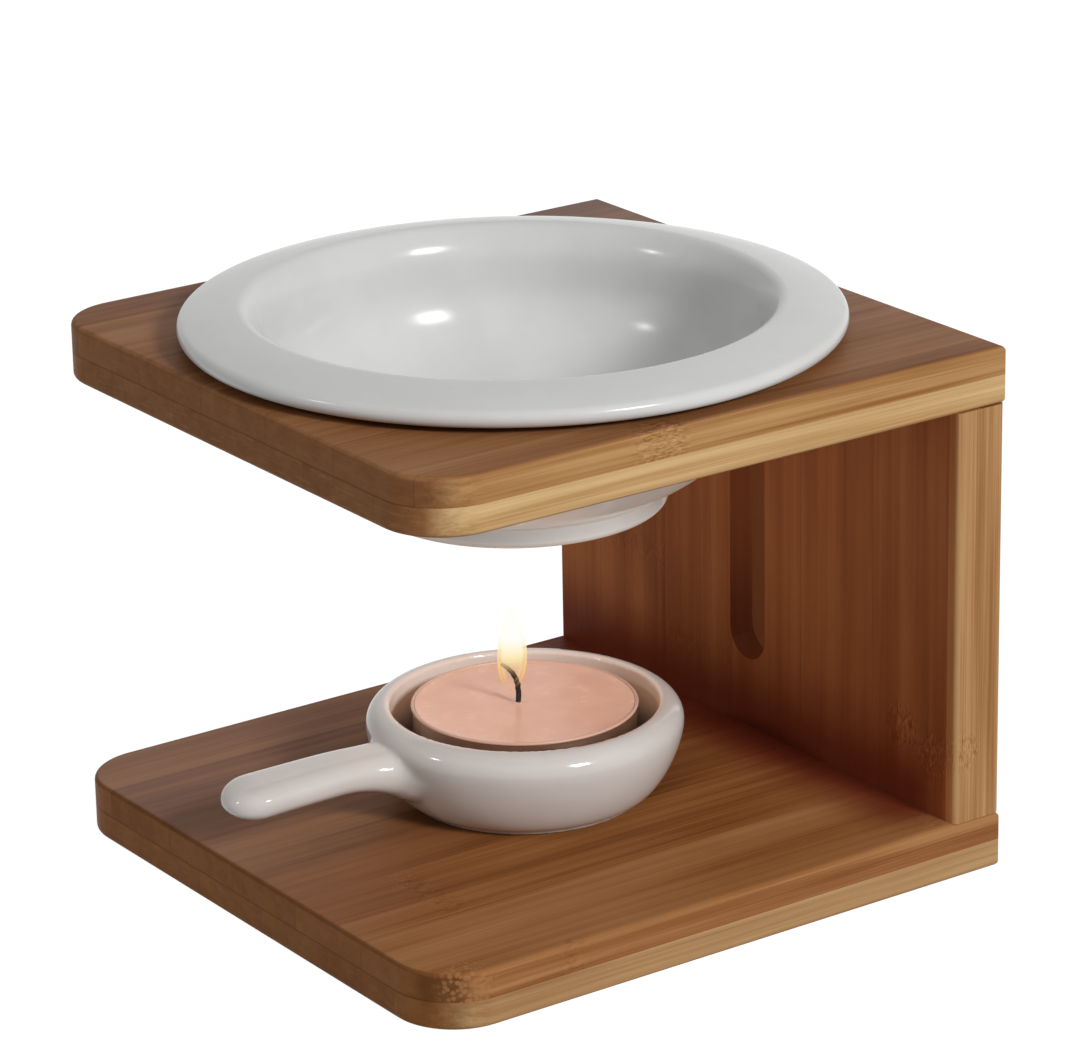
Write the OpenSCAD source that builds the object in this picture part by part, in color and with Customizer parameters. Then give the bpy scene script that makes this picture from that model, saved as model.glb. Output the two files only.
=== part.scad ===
// Tealight wax warmer. A glued bamboo stand carries a drop-in ceramic dish over a ceramic
// candle pan with a handle, and the pan holds a tealight. All sizes are in millimetres.
// The origin is the middle of the base board's underside, +Z is up and -Y is the open front.

/* [Stand] */
// Width of the boards, side to side
board_w = 110; // [104:0.5:150]
// Depth of the boards, front to back
board_d = 111; // [106:0.5:150]
// Height of the stand, from the table to its top face
stand_h = 89.4; // [80:0.1:120]
// Thickness of one ply of the base and top boards
board_ply = 4.8; // [4:0.1:7]
// Thickness of one ply of the back panel
panel_ply = 4.7; // [4:0.1:7]
// Plan radius of the boards' front corners
corner_r = 11; // [5:0.5:18]
// Radius of the stand's softened edges
edge_r = 0.9; // [0.4:0.1:1.5]

/* [Back slot] */
// Width of the slot in the back panel
slot_w = 9.6; // [6:0.2:16]
// Wood left below the slot and above it
slot_margin = 12.2; // [8:0.2:20]

/* [Dowels] */
// Diameter of a dowel
dowel_d = 5; // [4:0.5:6]
// Distance of a dowel's middle from the board's side
dowel_inset = 18; // [10:0.5:30]
// Depth of a dowel hole in a board
dowel_board_depth = 7; // [5:0.2:7.4]
// Depth of a dowel hole in the panel
dowel_panel_depth = 12; // [8:0.5:20]
// Glue gap round a dowel
dowel_gap = 0.05; // [0.02:0.01:0.1]
// Room left past each end of a dowel
dowel_end_room = 0.4; // [0.2:0.1:1]

/* [Warming dish] */
// Outside diameter of the bowl where it drops through the top board
bowl_d = 89.6; // [80:0.2:96]
// Width of the brim outside the bowl
brim_w = 9.05; // [7:0.05:14]
// Thickness of the brim at its rounded edge
brim_t = 3; // [2.2:0.1:3.6]
// Height of the brim's rounded edge above the board
brim_lift = 1; // [0.6:0.1:2]
// Rise of the brim's slope from its edge to its crest
brim_crown = 1.7; // [1:0.1:3]
// Distance of the brim's crest from its edge
crest_in = 9.8; // [7:0.1:11]
// Radius of the rounded crest
lip_r = 2.2; // [1:0.1:3]
// Width of the flat seat that rests on the board
seat_w = 1.6; // [1:0.1:3]
// Depth of the foot below the board's top
dish_drop = 28.7; // [22:0.1:36]
// Wall of the bowl
dish_wall = 4.8; // [3.6:0.1:5.4]
// Thickness of the bowl's floor
dish_floor = 5.6; // [4.8:0.1:6.4]
// Outside diameter of the foot ring
dish_foot_d = 49.4; // [42:0.2:56]
// Gap between the bowl and its hole in the board
hole_gap = 0.9; // [0.5:0.1:1.6]
// Distance of the dish in front of the boards' middle
dish_forward = 1; // [0:0.1:2]

/* [Candle pan] */
// Gap round the tealight at the pan's rim
candle_gap = 3.8; // [2.5:0.05:6]
// Wall of the pan at its rim
pan_wall = 4; // [3.4:0.1:4.8]
// Height of the pan
pan_h = 16; // [14.6:0.1:22]
// Thickness of the pan's floor
pan_floor = 3.8; // [3:0.1:5]
// How far the pan's foot stands in from its widest line
pan_foot_in = 6.4; // [5:0.1:7.6]
// Gap round the tealight at the pan's floor
candle_seat_gap = 0.5; // [0.3:0.1:1.5]
// Distance of the pan in front of the boards' middle
pan_forward = 0.2; // [0:0.1:2]

/* [Pan handle] */
// Length of the handle outside the pan
handle_len = 28.9; // [22:0.1:40]
// Width of the handle at its waist
handle_w = 9.8; // [8:0.1:13]
// Width of the handle at its rounded tip
handle_tip_w = 11.4; // [8:0.1:14]
// Thickness of the handle
handle_t = 5.8; // [4.4:0.1:6.4]
// Depth of the handle's middle line below the pan's rim, at the root
handle_below = 5.2; // [4.8:0.1:6.2]
// Fall of the handle's middle line from root to tip
handle_fall = 1.6; // [0:0.1:3]
// Turn of the handle from straight ahead, to the left
handle_turn = 6; // [0:1:15]
// Extra half width of the handle where it leaves the pan
root_spread = 3; // [2:0.1:4]

/* [Tealight] */
// Diameter of the tealight
tealight_d = 37; // [36:0.1:44]
// Height of the tealight's cup
tealight_h = 12; // [10:0.1:18]
// Thickness of the cup's metal
cup_t = 0.3; // [0.2:0.05:0.5]
// Radius of the rolled bead on the cup's lip
bead_r = 0.3; // [0.2:0.05:0.5]
// Depth of the wax below the cup's lip
wax_below = 0.5; // [0.4:0.1:2]
// Rise of the wax where it meets the cup
meniscus = 0.3; // [0.1:0.1:0.4]
// Diameter of the wick
wick_d = 1; // [0.8:0.1:2]
// Straight length of wick above the wax
wick_stem = 2.4; // [1:0.1:4]
// Radius of the bend at the wick's top
wick_bend_r = 5.2; // [4:0.1:8]
// Angle through which the wick bends
wick_bend = 62; // [20:1:70]
// Diameter of the wick's metal tab
tab_d = 12.5; // [9:0.1:16]
// Height of the tab's neck
tab_neck_h = 4; // [3:0.1:6]
// Gap between the wax and what stands in it
wax_gap = 0.05; // [0.02:0.01:0.1]

/* [Hidden] */
$fn = 96;

// Cuts run past the faces that they open
past = 1;

// Stand
board_t = 2 * board_ply;
panel_t = 2 * panel_ply;
top_z = stand_h - board_t;
bay_h = top_z - board_t;
back_y = board_d / 2;
front_y = -board_d / 2;
panel_mid_y = back_y - panel_t / 2;
corner_x = board_w / 2 - corner_r;
corner_y = front_y + corner_r;
slot_low = board_t + slot_margin + slot_w / 2;
slot_high = top_z - slot_margin - slot_w / 2;
dowel_x = board_w / 2 - dowel_inset;
dowel_hole_r = dowel_d / 2 + dowel_gap;

// Dish, with heights measured from the board's top
bowl_r = bowl_d / 2;
bowl_in = bowl_r - dish_wall;
dish_r = bowl_r + brim_w;
dish_rise = brim_lift + brim_t + brim_crown;
crest_r = dish_r - crest_in;
brim_edge_r = brim_t / 2;
brim_slope = atan2(brim_crown, dish_r - brim_edge_r - crest_r);
// Slope of the brim at its edge and at its crest, as shares of its middle slope
brim_bow = [1.5, 0.5];
brim_share = 0.35;
// Angle through which the crest turns down to the inside
lip_turn = 48;
lip_share = 0.45;
hole_r = bowl_r + hole_gap;
seat_fillet_share = 0.7;
seat_fillet = seat_fillet_share * hole_gap;
dish_foot_r = dish_foot_d / 2;
dish_foot_h = 2.9;
dish_foot_w = 3;
dish_foot_round = 1.4;
dish_foot_fillet = 1.2;
dish_recess = 1;
dish_floor_z = dish_floor + dish_recess - dish_drop;
wall_top_z = -2;
inside_z = -4;
// Shares of a wall's run at which its curve's handles lie
dish_flare_share = 0.35;
dish_wall_share = 0.45;
dish_inside_share = 0.45;
dish_floor_share = 0.6;
// Angle at which the wall leaves the foot, and share of the foot's radius that is flat inside
dish_flare_lean = 21;
dish_flat_share = 0.57;

// Pan, with heights measured from the base board's top
tealight_r = tealight_d / 2;
pan_in = tealight_r + candle_gap;
pan_r = pan_in + pan_wall;
rim_out_share = 0.86;
rim_out_r = rim_out_share * pan_wall;
rim_in_r = pan_wall - rim_out_r;
pan_wide_z = pan_h - rim_out_r;
pan_foot_r = pan_r - pan_foot_in;
pan_foot_w = 3.6;
pan_foot_round = 0.8;
pan_recess = 0.7;
// Shares of a wall's run at which its curve's handles lie
pan_flare_share = [0.48, 0.05];
pan_wall_share = 0.28;
pan_inside_share = 0.6;
candle_seat_r = tealight_r + candle_seat_gap;

// Handle, measured from the pan's axis
root_sink = 3.8;
root_at = pan_r - root_sink;
tip_at = pan_r + handle_len;
tip_start = tip_at - handle_tip_w / 2;
tip_along = (tip_start - root_at) / (tip_at - root_at);
root_run = 14;
spread_run = 9;
root_thick = 2;
root_dip = 2.7;
handle_power = 2.5;
fall_power = 1.5;
handle_sides = 24;
shank_steps = 12;
tip_steps = 6;

// Tealight, with heights measured from the pan's floor
candle_z = board_t + pan_floor;
cup_in = tealight_r - cup_t;
wax_r = cup_in - wax_gap;
wax_top = tealight_h - wax_below;
wick_r = wick_d / 2;
wick_at = [-0.6, -0.8];
wick_turn = 55;
tab_t = 0.3;
tab_neck_wall = 0.35;
tab_neck_r = wick_r + wax_gap + tab_neck_wall;
pool_edge = 3;
meniscus_steps = 6;

// Points along a cubic curve
function curve(a, b, c, d, steps = 14) = [
    for (i = [0:steps])
        let (t = i / steps, u = 1 - t)
            u * u * u * a + 3 * u * u * t * b + 3 * u * t * t * c + t * t * t * d];

// Points along an arc from one angle to another
function arc(middle, r, from, to, steps = 8) = [
    for (i = [0:steps])
        let (angle = from + (to - from) * i / steps)
            middle + r * [cos(angle), sin(angle)]];

// Points without their first one, which the run before them ends at
function after_first(points) = [for (i = [1:len(points) - 1]) points[i]];

// Step of a given length, with its direction as an angle
function step(length, angle) = length * [cos(angle), sin(angle)];

// Outline of a board, round at its front corners
module board_outline() {
    translate([-board_w / 2, corner_y])
        square([board_w, back_y - corner_y]);
    translate([-corner_x, front_y])
        square([2 * corner_x, board_d]);
    for (side = [-1, 1])
        translate([side * corner_x, corner_y])
            circle(r = corner_r);
}

// Section of what softening takes off an edge, with the wood on the -X and -Y sides
module edge_waste() {
    translate([-edge_r, -edge_r])
        difference() {
            square(edge_r + past);
            circle(r = edge_r, $fn = 48);
        }
}

// What softening takes off a board all round, from an upper face at z = 0
module board_edge_waste() {
    for (side = [0, 1])
        mirror([side, 0, 0]) {
            translate([board_w / 2, back_y + past, 0])
                rotate([90, 0, 0])
                    linear_extrude(board_d + 2 * past)
                        edge_waste();
            translate([corner_x, corner_y, 0])
                rotate(-90)
                    rotate_extrude(angle = 90)
                        translate([corner_r, 0])
                            edge_waste();
        }
    for (end = [0, 1])
        mirror([0, end, 0])
            translate([-board_w / 2 - past, back_y, 0])
                rotate([90, 0, 90])
                    linear_extrude(board_w + 2 * past)
                        edge_waste();
}

// One ply of a board, with its upper edge softened
module board_ply_solid() {
    difference() {
        linear_extrude(board_ply)
            board_outline();
        translate([0, 0, board_ply])
            board_edge_waste();
    }
}

// One ply of a board, with its lower edge softened
module board_ply_turned() {
    translate([0, 0, board_ply])
        mirror([0, 0, 1])
            board_ply_solid();
}

// Dowel positions on the panel's middle line, from a given height
module at_dowels(z) {
    for (side = [-1, 1])
        translate([side * dowel_x, panel_mid_y, z])
            children();
}

// Blind holes for both dowels at one end of the panel
module dowel_holes(joint_z, up) {
    below = up ? dowel_board_depth : dowel_panel_depth;
    above = up ? dowel_panel_depth : dowel_board_depth;
    at_dowels(joint_z - below)
        cylinder(r = dowel_hole_r, h = below + above);
}

// Both dowels at one end of the panel
module dowel_pair(joint_z, up) {
    below = (up ? dowel_board_depth : dowel_panel_depth) - dowel_end_room;
    above = (up ? dowel_panel_depth : dowel_board_depth) - dowel_end_room;
    at_dowels(joint_z - below)
        cylinder(d = dowel_d, h = below + above);
}

// Slot right through the panel, with round ends
module panel_slot_cut() {
    for (z = [slot_low, slot_high])
        translate([0, back_y + past, z])
            rotate([90, 0, 0])
                cylinder(d = slot_w, h = panel_t + 2 * past);
    translate([-slot_w / 2, back_y - panel_t - past, slot_low])
        cube([slot_w, panel_t + 2 * past, slot_high - slot_low]);
}

// One ply of the panel, standing on z = 0, with both sides of its outer face softened
module panel_ply_solid() {
    linear_extrude(bay_h)
        difference() {
            translate([-board_w / 2, 0])
                square([board_w, panel_ply]);
            for (side = [0, 1])
                mirror([side, 0])
                    translate([board_w / 2, panel_ply])
                        edge_waste();
        }
}

// What is cut from both panel plies
module panel_cuts() {
    panel_slot_cut();
    dowel_holes(board_t, true);
    dowel_holes(top_z, false);
}

// Hole that the bowl drops through
module bowl_hole() {
    translate([0, -dish_forward, top_z - past])
        cylinder(r = hole_r, h = board_t + 2 * past);
}

// Lower ply of the base board, on the table
module base_lower_ply() {
    color("#8a5a34")
        difference() {
            board_ply_turned();
            dowel_holes(board_t, true);
        }
}

// Upper ply of the base board, under the pan
module base_upper_ply() {
    color("#7a4a2a")
        difference() {
            translate([0, 0, board_ply])
                board_ply_solid();
            dowel_holes(board_t, true);
        }
}

// Front ply of the back panel
module panel_front_ply() {
    color("#6b3a20")
        difference() {
            translate([0, panel_mid_y, board_t])
                mirror([0, 1, 0])
                    panel_ply_solid();
            panel_cuts();
        }
}

// Rear ply of the back panel
module panel_back_ply() {
    color("#a5713f")
        difference() {
            translate([0, panel_mid_y, board_t])
                panel_ply_solid();
            panel_cuts();
        }
}

// Lower ply of the top board
module top_lower_ply() {
    color("#c99f63")
        difference() {
            translate([0, 0, top_z])
                board_ply_turned();
            bowl_hole();
            dowel_holes(top_z, false);
        }
}

// Upper ply of the top board
module top_upper_ply() {
    color("#7d5236")
        difference() {
            translate([0, 0, top_z + board_ply])
                board_ply_solid();
            bowl_hole();
            dowel_holes(top_z, false);
        }
}

// Two dowels between the base board and the panel
module base_dowels() {
    color("#d8b888")
        dowel_pair(board_t, true);
}

// Two dowels between the panel and the top board
module top_dowels() {
    color("#d8b888")
        dowel_pair(top_z, false);
}

// Section of the dish, from its axis out and back over the brim
function dish_section() =
    let (foot_z = -dish_drop,
         fillet = [dish_foot_r + dish_foot_fillet, foot_z + dish_foot_h],
         flare = fillet + step(dish_foot_fillet, 90 + dish_flare_lean),
         wall_top = [bowl_r, wall_top_z],
         run = wall_top - flare,
         brim_edge = [dish_r - brim_edge_r, brim_lift + brim_edge_r],
         crest = [crest_r, dish_rise - lip_r],
         edge_angle = 90 - brim_bow[0] * brim_slope,
         crest_angle = 90 - brim_bow[1] * brim_slope,
         brim_out = brim_edge + step(brim_edge_r, edge_angle),
         brim_in = crest + step(lip_r, crest_angle),
         brim_reach = brim_share * norm(brim_out - brim_in),
         lip_end = crest + step(lip_r, 90 + lip_turn),
         lip_reach = lip_share * (lip_end[1] - inside_z),
         inside_top = [bowl_in, inside_z],
         inside_drop = inside_z - dish_floor_z,
         floor_r = dish_flat_share * dish_foot_r)
    concat(
        [[0, foot_z + dish_recess], [dish_foot_r - dish_foot_w, foot_z + dish_recess]],
        [[dish_foot_r - dish_foot_w + dish_recess / 2, foot_z]],
        arc([dish_foot_r - dish_foot_round, foot_z + dish_foot_round], dish_foot_round, -90, 0, 5),
        arc(fillet, dish_foot_fillet, 180, 90 + dish_flare_lean, 5),
        after_first(curve(flare, flare + step(dish_flare_share * run[0], dish_flare_lean),
                          wall_top - [0, dish_wall_share * run[1]], wall_top, 18)),
        arc([bowl_r + seat_fillet, -seat_fillet], seat_fillet, 180, 90, 4),
        [[hole_r + seat_w, 0]],
        arc(brim_edge, brim_edge_r, -90, edge_angle, 10),
        after_first(curve(brim_out, brim_out + step(brim_reach, 90 + edge_angle),
                          brim_in - step(brim_reach, 90 + crest_angle), brim_in, 6)),
        after_first(arc(crest, lip_r, crest_angle, 90 + lip_turn, 8)),
        after_first(curve(lip_end, lip_end + step(lip_reach, 180 + lip_turn),
                          inside_top + [0, lip_reach], inside_top, 8)),
        after_first(curve(inside_top, inside_top - [0, dish_inside_share * inside_drop],
                          [floor_r + dish_floor_share * (bowl_in - floor_r), dish_floor_z],
                          [floor_r, dish_floor_z], 18)),
        [[0, dish_floor_z]]);

// White dish that drops into the top board and rests on its brim
module warming_dish() {
    color("#e9e8e6")
        translate([0, -dish_forward, stand_h])
            rotate_extrude($fn = 128)
                polygon(dish_section());
}

// Section of the pan, from its axis out and back over the rim
function pan_section() =
    let (foot_top = [pan_foot_r, pan_foot_round],
         wide = [pan_r, pan_wide_z],
         rise = pan_wide_z - pan_foot_round,
         inside_top = [pan_in, pan_h - rim_in_r],
         inside_drop = inside_top[1] - pan_floor)
    concat(
        [[0, pan_recess], [pan_foot_r - pan_foot_w, pan_recess]],
        [[pan_foot_r - pan_foot_w + pan_recess / 2, 0]],
        arc([pan_foot_r - pan_foot_round, pan_foot_round], pan_foot_round, -90, 0, 5),
        curve(foot_top, foot_top + [pan_flare_share[0] * pan_foot_in, pan_flare_share[1] * rise],
              wide - [0, pan_wall_share * rise], wide, 14),
        arc([pan_r - rim_out_r, pan_h - rim_out_r], rim_out_r, 0, 90, 8),
        arc([pan_in + rim_in_r, pan_h - rim_in_r], rim_in_r, 90, 180, 8),
        curve(inside_top, inside_top - [0, pan_inside_share * inside_drop],
              [pan_in, pan_floor], [candle_seat_r, pan_floor], 12),
        [[0, pan_floor]]);

// How much of a swelling at the handle's root is left, from 1 at the root to 0 where its run ends
function root_share(at, run) = pow(max(0, 1 - (at - root_at) / run), 2);

// Share of full size left in the rounded tip, which starts at a given distance
function tip_share(at, start) =
    at <= start ? 1 : sqrt(max(0, 1 - pow((at - start) / (tip_at - start), 2)));

// Signed power, which squares up an ellipse
function squared_up(v) = sign(v) * pow(abs(v), 2 / handle_power);

// One ring of the handle, square to its length
function handle_ring(at) =
    let (along = (at - root_at) / (tip_at - root_at),
         waist_w = handle_w + (handle_tip_w - handle_w) * min(1, along / tip_along),
         half_w = (waist_w / 2 + root_spread * root_share(at, spread_run)) * tip_share(at, tip_start),
         half_t = (handle_t / 2 + root_thick * root_share(at, root_run))
                  * tip_share(at, tip_at - handle_t / 2),
         middle_z = pan_h - handle_below - root_dip * root_share(at, root_run)
                    - handle_fall * pow(along, fall_power))
    [for (i = [0:handle_sides - 1])
        let (angle = 360 * i / handle_sides)
            [half_w * squared_up(cos(angle)), -at, middle_z + half_t * squared_up(sin(angle))]];

// Handle as one lofted solid, with a point at its tip
module handle() {
    shank = [for (i = [0:shank_steps]) root_at + (tip_start - root_at) * i / shank_steps];
    tip = [for (i = [1:tip_steps]) tip_start + (tip_at - tip_start) * sin(90 * i / (tip_steps + 1))];
    places = concat(shank, tip);
    rings = [for (at = places) handle_ring(at)];
    count = len(rings);
    tip_point = [0, -tip_at, pan_h - handle_below - handle_fall];
    points = concat([for (ring = rings) each ring], [tip_point]);
    last = (count - 1) * handle_sides;
    sides = [for (k = [0:count - 2], i = [0:handle_sides - 1], half = [0, 1])
        let (j = (i + 1) % handle_sides, low = k * handle_sides, high = low + handle_sides)
            half == 0 ? [low + i, high + j, low + j] : [low + i, high + i, high + j]];
    root_cap = [for (i = [1:handle_sides - 2]) [0, i, i + 1]];
    tip_cap = [for (i = [0:handle_sides - 1])
        [last + (i + 1) % handle_sides, last + i, len(points) - 1]];
    polyhedron(points, concat(sides, root_cap, tip_cap), convexity = 4);
}

// White candle pan with its handle, fired in one piece
module candle_pan() {
    color("#e6e2dd")
        translate([0, -pan_forward, board_t])
            rotate(-handle_turn) {
                rotate_extrude()
                    polygon(pan_section());
                handle();
            }
}

// Thin metal cup of the tealight, with a rolled bead at its lip
module tealight_cup() {
    bead_z = tealight_h - bead_r;
    color("#c9c9cc")
        translate([0, -pan_forward, candle_z])
            rotate_extrude()
                polygon(concat(
                    [[0, 0], [tealight_r, 0]],
                    arc([tealight_r, bead_z], bead_r, -90, 90),
                    [[cup_in, tealight_h], [cup_in, cup_t], [0, cup_t]]));
}

// Wax of the tealight, bored for the wick and its tab
module tealight_wax() {
    pool_r = wax_r - pool_edge;
    color("#dfab8e")
        translate([0, -pan_forward, candle_z])
            difference() {
                rotate_extrude()
                    polygon(concat(
                        [[0, cup_t], [wax_r, cup_t]],
                        [for (i = [0:meniscus_steps])
                            let (share = 1 - i / meniscus_steps)
                                [pool_r + (wax_r - pool_r) * share,
                                 wax_top + meniscus * pow(share, 2)]],
                        [[0, wax_top]]));
                translate([wick_at[0], wick_at[1], cup_t]) {
                    translate([0, 0, -past])
                        cylinder(d = tab_d + 2 * wax_gap, h = past + tab_t + wax_gap);
                    cylinder(r = tab_neck_r + wax_gap, h = tab_neck_h + wax_gap);
                    cylinder(r = wick_r + wax_gap, h = tealight_h);
                }
            }
}

// Wick, upright in the wax and bent over above it
module wick() {
    low = cup_t + tab_t;
    stem_h = wax_top + wick_stem - low;
    color("#2a2320")
        translate([wick_at[0], wick_at[1] - pan_forward, candle_z + low])
        rotate(wick_turn) {
            cylinder(r = wick_r, h = stem_h);
            translate([-wick_bend_r, 0, stem_h])
                rotate([90, 0, 0])
                    rotate_extrude(angle = wick_bend)
                        translate([wick_bend_r, 0])
                            circle(r = wick_r, $fn = 48);
        }
}

// Metal tab that holds the wick upright on the cup's floor
module wick_tab() {
    color("#b4b4b8")
        translate([wick_at[0], wick_at[1] - pan_forward, candle_z + cup_t]) {
            cylinder(d = tab_d, h = tab_t);
            difference() {
                cylinder(r = tab_neck_r, h = tab_neck_h);
                translate([0, 0, tab_t])
                    cylinder(r = wick_r + wax_gap, h = tab_neck_h);
            }
        }
}

base_lower_ply();
base_upper_ply();
panel_front_ply();
panel_back_ply();
top_lower_ply();
top_upper_ply();
base_dowels();
top_dowels();
warming_dish();
candle_pan();
tealight_cup();
tealight_wax();
wick();
wick_tab();
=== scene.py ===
"""Tealight wax warmer: a bamboo stand, a ceramic dish, a handled candle pan and a lit tealight."""
import math

import bmesh
import bpy
import numpy as np
from mathutils import Matrix, Vector


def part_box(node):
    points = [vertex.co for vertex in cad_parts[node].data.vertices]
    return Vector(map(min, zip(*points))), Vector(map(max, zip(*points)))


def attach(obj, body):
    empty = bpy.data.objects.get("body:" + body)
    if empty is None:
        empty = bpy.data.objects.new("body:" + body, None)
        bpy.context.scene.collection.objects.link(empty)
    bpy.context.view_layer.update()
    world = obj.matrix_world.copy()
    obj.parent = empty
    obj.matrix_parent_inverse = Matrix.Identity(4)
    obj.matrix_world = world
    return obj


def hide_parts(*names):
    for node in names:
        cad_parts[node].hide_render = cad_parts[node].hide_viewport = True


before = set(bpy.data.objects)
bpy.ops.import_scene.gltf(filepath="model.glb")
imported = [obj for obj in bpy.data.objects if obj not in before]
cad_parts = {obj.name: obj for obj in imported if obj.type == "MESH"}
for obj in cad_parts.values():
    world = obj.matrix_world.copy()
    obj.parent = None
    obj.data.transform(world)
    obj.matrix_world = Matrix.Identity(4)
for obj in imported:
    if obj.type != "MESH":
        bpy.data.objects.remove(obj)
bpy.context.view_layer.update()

scene = bpy.context.scene

MM = 0.001


def box_mm(node):
    """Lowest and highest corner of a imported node, in millimetres."""
    return [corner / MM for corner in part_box(node)]


def coat(node, material):
    """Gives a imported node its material."""
    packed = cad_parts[node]
    if packed.material_slots:
        packed.material_slots[0].material = material
    else:
        packed.data.materials.append(material)


def opaque(tone):
    """A tone, which is red, green and blue in linear light, as a colour with nothing clear in it."""
    return (*tone, 1.0)


def shade(tone, share):
    """A tone darkened to a share of its light."""
    return tuple(share * part for part in tone)


# Node graphs

class NodeGraph:
    """A node tree, with short calls that add nodes and give back sockets."""

    def __init__(self, tree):
        self.tree = tree
        self.tree.nodes.clear()

    def add(self, kind, inputs=None, **settings):
        """Adds a node, feeds its inputs with sockets, plain values or tones, and gives its outputs."""
        node = self.tree.nodes.new("ShaderNode" + kind)
        for key, value in settings.items():
            setattr(node, key, value)
        for key, value in (inputs or {}).items():
            if isinstance(value, bpy.types.NodeSocket):
                self.tree.links.new(value, node.inputs[key])
            elif node.inputs[key].type == "RGBA":
                node.inputs[key].default_value = opaque(value)
            else:
                node.inputs[key].default_value = value
        return node.outputs

    def math(self, operation, first, second=0.0, clamp=False):
        return self.add("Math", {0: first, 1: second}, operation=operation, use_clamp=clamp)[0]

    def times(self, first, *others):
        for other in others:
            first = self.math("MULTIPLY", first, other)
        return first

    def plus(self, first, *others):
        for other in others:
            first = self.math("ADD", first, other)
        return first

    def minus(self, first, second):
        return self.math("SUBTRACT", first, second)

    def size(self, value):
        """A value without its sign."""
        return self.math("ABSOLUTE", value)

    def remap(self, value, low, high, to_low=0.0, to_high=1.0):
        """Smooth step of a value between two limits."""
        inputs = {"Value": value, "From Min": low, "From Max": high, "To Min": to_low, "To Max": to_high}
        return self.add("MapRange", inputs, interpolation_type="SMOOTHSTEP")["Result"]

    def mix(self, share, first, second):
        """A colour between two. The node's inputs 6 and 7 and its output 2 are the ones for colours."""
        return self.add("Mix", {0: share, 6: first, 7: second}, data_type="RGBA")[2]


# Share of a spot's radius inside which it has its full strength
SPOT_CORE = 0.45


class Graph(NodeGraph):
    """A material's node tree.

    place is the shaded point in millimetres, and facing is the surface normal, both in the shared frame.
    """

    def __init__(self, name):
        self.material = bpy.data.materials.new(name)
        self.material.use_nodes = True
        super().__init__(self.material.node_tree)
        coords = self.add("TexCoord")
        scaled = self.add("VectorMath", {0: coords["Object"], "Scale": 1 / MM}, operation="SCALE")
        self.point = scaled[0]
        self.place = self.add("SeparateXYZ", {0: self.point})
        self.facing = self.add("SeparateXYZ", {0: coords["Normal"]})

    def near(self, spots):
        """1 at each spot, given as a middle and a radius in millimetres, and 0 past its radius."""
        total = 0.0
        for middle, radius in spots:
            away = self.add("VectorMath", {0: self.point, 1: middle}, operation="DISTANCE")
            spot = self.remap(away["Value"], radius, SPOT_CORE * radius)
            total = self.math("MAXIMUM", spot, total)
        return total

    def level_dot(self, parts, direction):
        """How far a vector's level parts reach in a direction."""
        return self.plus(self.times(parts[0], direction[0]), self.times(parts[1], direction[1]))

    def ramp(self, value, stops):
        """A colour that runs through stops, each a place from 0 to 1 and a tone."""
        colour = self.add("ValToRGB", {"Fac": value})["Color"]
        elements = colour.node.color_ramp.elements
        while len(elements) < len(stops):
            elements.new(0.5)
        for element, (position, tone) in zip(elements, stops):
            element.position = position
            element.color = opaque(tone)
        return colour

    def grain(self, sizes, offset=0.0, detail=2.0, roughness=0.5, distortion=0.0):
        """Noise of the point's place, with one grain size in millimetres for each axis."""
        parts = [self.math("DIVIDE", part, size) for part, size in zip(self.place, sizes)]
        parts[0] = self.plus(parts[0], offset)
        vector = self.add("CombineXYZ", dict(enumerate(parts)))[0]
        inputs = {"Vector": vector, "Scale": 1.0, "Detail": detail, "Roughness": roughness,
                  "Distortion": distortion}
        return self.add("TexNoise", inputs, noise_dimensions="3D")[0]

    def even_grain(self, size, detail=2.0):
        """Noise with the same grain size along all axes."""
        return self.grain((size, size, size), detail=detail)

    def chance(self, value, seed):
        """An even random number for each whole value."""
        shifted = self.plus(value, seed)
        return self.add("TexWhiteNoise", {"W": shifted}, noise_dimensions="1D")["Value"]

    def bump(self, height, depth_mm, strength):
        inputs = {"Height": height, "Distance": depth_mm * MM, "Strength": strength}
        return self.add("Bump", inputs)["Normal"]

    def finish(self, shader):
        self.add("OutputMaterial", {"Surface": shader})
        return self.material

    def principled(self, **sockets):
        """Ends the material in one Principled shader. Underscores in names stand for spaces."""
        inputs = {key.replace("_", " "): value for key, value in sockets.items()}
        return self.finish(self.add("BsdfPrincipled", inputs)[0])


# Bamboo

# Strips, the dark joints between them, and the knuckles along them
STRIP = 19.0
STRIP_JOINT = 0.12
KNUCKLE_GAP = 290.0
KNUCKLE_REACH = 4.5
KNUCKLE_SHARE = 0.5

# Sizes of the grain along and across the fibres, its share of these in the ply's thickness, and how far
# it differs from strip to strip
FIBRE = (28.0, 0.34)
STREAK = (95.0, 1.25)
BAND = (150.0, 4.2)
CLOUD = (48.0, 15.0)
SQUIGGLE = (2.0, 0.62)
FLATTENED = 0.8
STRIP_JUMP = 57.0

# How much each kind of grain swings the lightness, the contrast left on cut ends, and where the tones lie
FIBRE_SWING = 0.75
STREAK_SWING = 1.15
STRIP_SWING = 0.30
BAND_SWING = 0.75
CLOUD_SWING = 0.55
SQUIGGLE_SWING = 1.8
END_CONTRAST = 0.45
TONE_PLACES = (0.12, 0.5, 0.88)

# Distances from the middle between which the outer edges' own tones set in
EDGE_FROM, EDGE_FULL = 46.5, 48.5

# Marks on cut ends and edges: their sizes, their strength, and how dark the darkest are
FLECK_LENGTH, FLECK_WIDTH = 5.0, 0.45
FLECK_SHARE = 0.22
END_SHARE = 0.08
GLUE_HALF = 0.22
GLUE_SHARE = 0.45
DOT_PITCH = 0.85
DOT_SHARE = 0.65
JOINT_SHARE = 0.35
RUBBED_SHARE = 0.22
DEEP, JOINT_DEEP = 0.4, 0.6

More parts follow.
